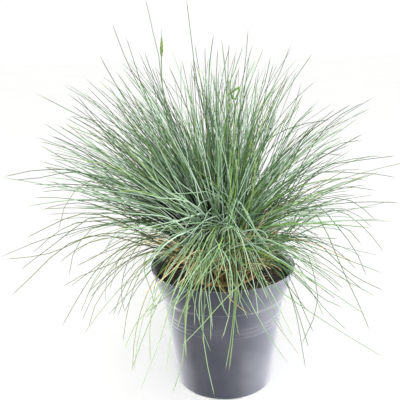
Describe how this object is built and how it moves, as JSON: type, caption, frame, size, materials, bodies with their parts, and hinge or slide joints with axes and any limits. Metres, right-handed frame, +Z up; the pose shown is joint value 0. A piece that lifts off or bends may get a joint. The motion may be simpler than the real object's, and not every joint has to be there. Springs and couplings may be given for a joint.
{
  "type": "potted blue fescue clump",
  "caption": "Clump of needle-leaved blue fescue grass with a flower spike, fanning out over a round tapered nursery pot of compost that stands on its base.",
  "frame": {"origin": "centre of the pot's underside, on the surface it stands on", "axes": "+Z up along the pot's axis, -Y towards the front that the picture shows, +X to the right seen from the front"},
  "size_m": [0.359, 0.3343, 0.3442],
  "materials": {
    "pot": "satin",
    "compost": "matte",
    "dry_sheath": "matte",
    "leaf": "satin",
    "flower": "matte"
  },
  "bodies": {
    "root": {"pot": "pot", "compost": "compost", "crown": "dry_sheath", "leaf_tuft_02": "leaf", "leaf_tuft_03": "leaf", "leaf_tuft_04": "leaf", "leaf_tuft_05": "leaf", "leaf_tuft_06": "leaf", "leaf_tuft_07": "leaf", "leaf_tuft_08": "leaf", "leaf_tuft_09": "leaf", "leaf_tuft_10": "leaf", "leaf_tuft_11": "leaf", "leaf_tuft_12": "leaf", "leaf_tuft_13": "leaf", "leaf_tuft_14": "leaf", "leaf_tuft_15": "leaf", "leaf_tuft_16": "leaf", "leaf_tuft_17": "leaf", "leaf_tuft_18": "leaf", "leaf_tuft_19": "leaf", "leaf_tuft_20": "leaf", "leaf_tuft_21": "leaf", "leaf_tuft_22": "leaf", "leaf_tuft_23": "leaf", "leaf_tuft_24": "leaf", "leaf_tuft_25": "leaf", "leaf_tuft_26": "leaf", "leaf_tuft_27": "leaf", "leaf_tuft_28": "leaf", "leaf_tuft_29": "leaf", "leaf_tuft_30": "leaf", "leaf_tuft_31": "leaf", "leaf_tuft_32": "leaf", "leaf_tuft_33": "leaf", "leaf_tuft_34": "leaf", "leaf_tuft_35": "leaf", "leaf_tuft_36": "leaf", "leaf_tuft_37": "leaf", "leaf_tuft_38": "leaf", "leaf_tuft_39": "leaf", "leaf_tuft_40": "leaf", "leaf_tuft_41": "leaf", "leaf_tuft_42": "leaf", "leaf_tuft_43": "leaf", "leaf_tuft_44": "leaf", "leaf_tuft_45": "leaf", "leaf_tuft_46": "leaf", "leaf_tuft_47": "leaf", "leaf_tuft_48": "leaf", "leaf_tuft_49": "leaf", "flower_stalk": "flower", "young_stalk": "flower"}
  },
  "joints": []
}
